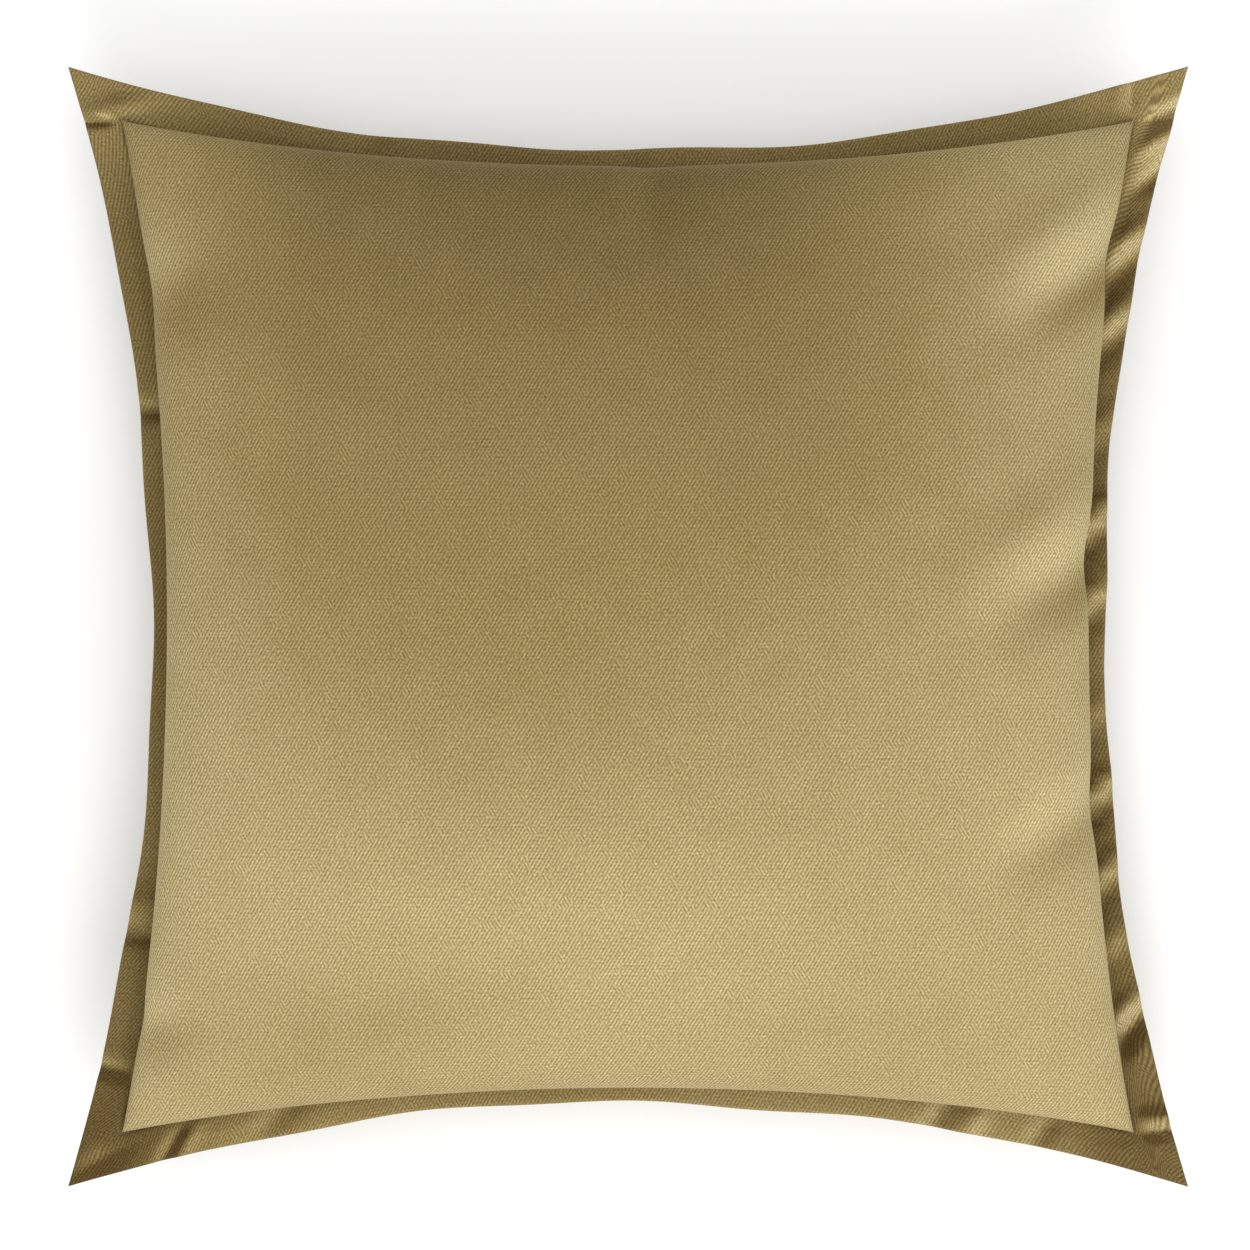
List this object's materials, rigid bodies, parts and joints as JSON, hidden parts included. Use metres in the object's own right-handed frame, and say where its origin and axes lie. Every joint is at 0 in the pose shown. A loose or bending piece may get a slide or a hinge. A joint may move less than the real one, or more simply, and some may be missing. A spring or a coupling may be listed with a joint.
{
  "type": "throw pillow",
  "caption": "Square throw pillow in flanged velvet, with a zipped back, a separate stuffed insert and a topstitched border.",
  "frame": {"origin": "under the middle of the pillow, on the surface that it rests on", "axes": "+X to the right and +Y up the pillow's face, +Z out of its face; it lies on its back"},
  "size_m": [0.49, 0.49, 0.132],
  "materials": {
    "velvet": "matte",
    "ticking": "matte",
    "fibre": "matte",
    "thread": "satin",
    "zip_tape": "matte",
    "zip_coil": "satin",
    "zip_metal": "satin",
    "label": "satin"
  },
  "bodies": {
    "pillow": {"cover_front": "velvet", "cover_back_upper": "velvet", "cover_back_lower": "velvet", "insert_shell_front": "ticking", "insert_shell_back": "ticking", "insert_fill": "fibre", "flange_needle_thread": "thread", "flange_bobbin_thread": "thread", "edge_seam_thread": "thread", "insert_seam_thread": "thread", "zip_stitch_upper": "thread", "zip_stitch_lower": "thread", "back_join_seam_left": "thread", "back_join_seam_right": "thread", "zipper_tape_upper": "zip_tape", "zipper_tape_lower": "zip_tape", "zipper_coil_upper": "zip_coil", "zipper_coil_lower": "zip_coil", "zipper_top_stop_upper": "zip_metal", "zipper_top_stop_lower": "zip_metal", "zipper_bottom_stop": "zip_metal", "care_label": "label", "insert_label": "label"},
    "slider": {"zipper_slider": "zip_metal"},
    "pull_tab": {"zipper_pull_tab": "zip_metal"}
  },
  "joints": [
    {"name": "zipper_travel", "type": "hinge", "parent": "pillow", "child": "slider", "pos_m": [0, -0.98974, 1.08715], "axis": [0, -0.8, -0.6001], "range_deg": [0, 14.5], "deforming": ["zipper_coil_upper", "zipper_coil_lower"]},
    {"name": "pull_tab_swing", "type": "hinge", "parent": "slider", "child": "pull_tab", "pos_m": [-0.16832, -0.20147, 0.03227], "axis": [0.1249, -0.7249, 0.6775], "range_deg": [-95, 80]}
  ]
}
